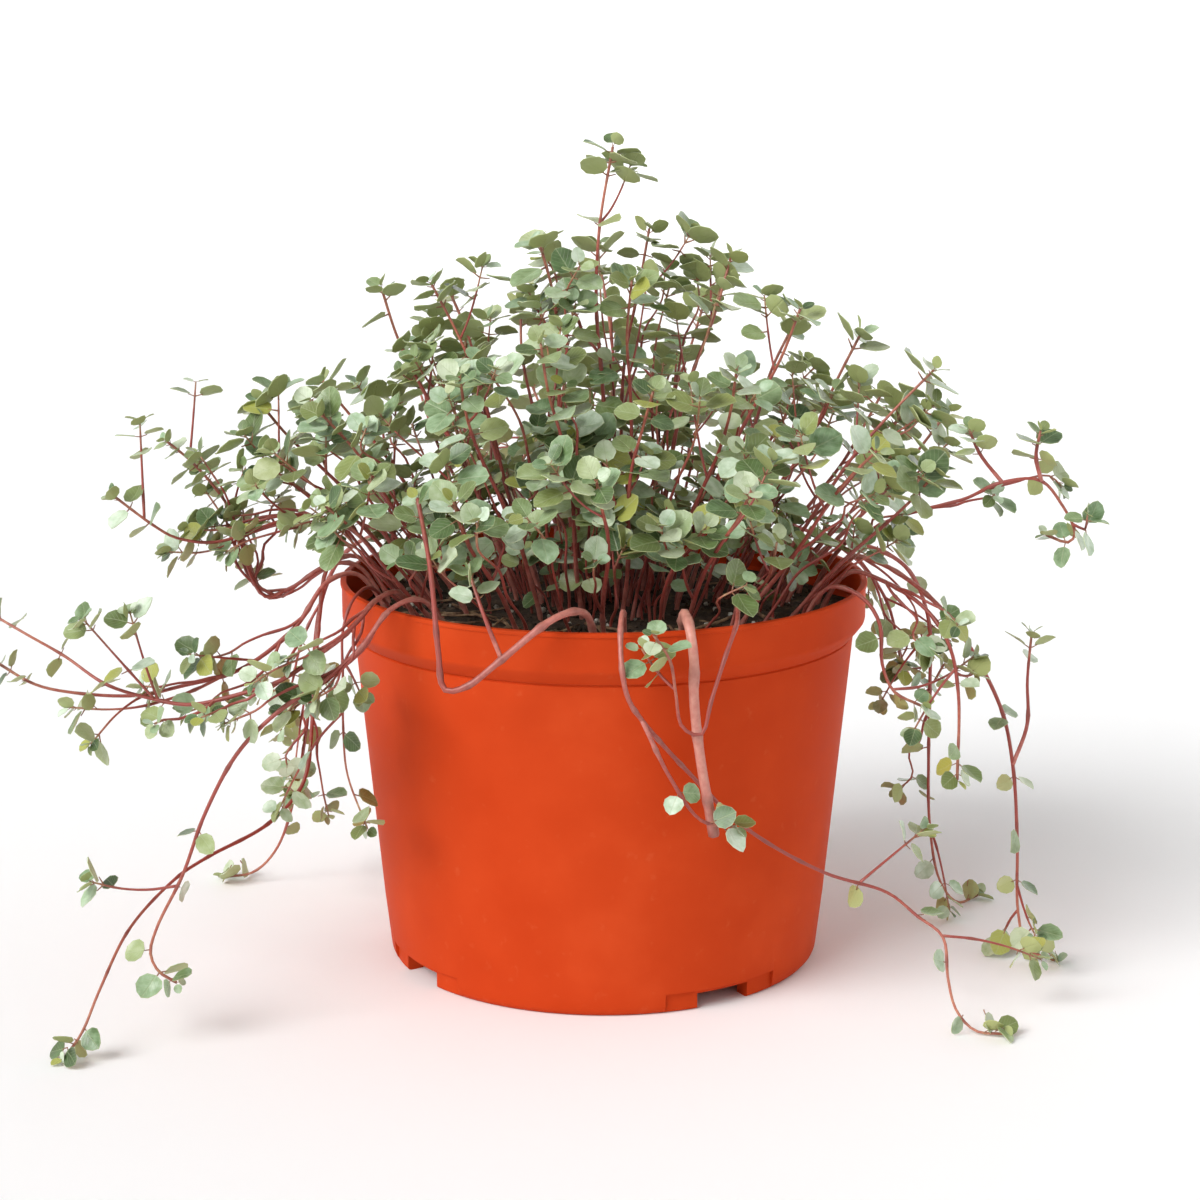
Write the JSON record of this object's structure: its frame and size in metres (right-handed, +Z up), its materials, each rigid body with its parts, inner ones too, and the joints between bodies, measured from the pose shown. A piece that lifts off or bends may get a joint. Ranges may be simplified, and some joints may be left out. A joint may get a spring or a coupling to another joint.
{
  "type": "potted nettle plant",
  "caption": "Trailing small-leaved plant of the nettle family with silver-green leaves on red stems, growing in a round orange plastic nursery pot.",
  "frame": {"origin": "middle of the plant's spread on the surface that the pot stands on; the pot's axis is 17.8 mm to the right of it and 14.1 mm in front", "axes": "+Z up along the pot's axis; the front of the plant faces -Y; +X to the right seen from the front"},
  "size_m": [0.3112, 0.2222, 0.237],
  "materials": {
    "pot_plastic": "satin moulded plastic",
    "soil": "dark peat with white perlite grains",
    "leaves": "silvery green, slightly glossy, paler at the edges",
    "stems": "smooth red-brown to pink, swollen at the joints"
  },
  "bodies": {
    "root": {"pot": "pot_plastic", "soil": "soil", "front_hook_shoot": "leaves", "front_cut_shoot": "stems", "front_curl_shoot": "leaves", "front_long_shoot": "leaves", "right_front_hook_shoot": "leaves", "right_front_shoot": "leaves", "right_arch_shoot": "leaves", "right_long_shoot": "leaves", "right_side_shoot": "leaves", "left_long_shoot": "leaves", "left_low_shoot": "leaves", "left_front_shoot": "leaves", "left_side_shoot": "leaves", "left_fine_shoot": "leaves", "left_arch_shoot": "leaves", "left_upturned_shoot": "leaves", "back_long_shoot": "leaves", "back_left_shoot": "leaves", "back_right_shoot": "leaves", "back_arch_shoot": "leaves", "left_back_shoot": "leaves", "crown_shoot_1": "leaves", "crown_shoot_2": "leaves", "crown_shoot_3": "leaves", "crown_shoot_4": "leaves", "crown_shoot_5": "leaves", "crown_shoot_6": "leaves", "crown_shoot_7": "leaves", "crown_shoot_8": "leaves", "crown_shoot_9": "leaves", "crown_shoot_10": "leaves", "crown_shoot_11": "leaves", "crown_shoot_12": "leaves", "crown_shoot_13": "leaves", "crown_shoot_14": "leaves", "crown_shoot_15": "leaves", "crown_shoot_16": "leaves", "crown_shoot_17": "leaves", "crown_shoot_18": "leaves", "crown_shoot_19": "leaves", "crown_shoot_20": "leaves", "crown_shoot_21": "leaves", "crown_shoot_22": "leaves", "crown_shoot_23": "leaves", "crown_shoot_24": "leaves", "crown_shoot_25": "leaves", "crown_shoot_26": "leaves", "crown_shoot_27": "leaves", "crown_shoot_28": "leaves", "crown_shoot_29": "leaves", "crown_shoot_30": "leaves", "crown_shoot_31": "leaves", "crown_shoot_32": "leaves", "crown_shoot_33": "leaves", "crown_shoot_34": "leaves"}
  },
  "joints": []
}
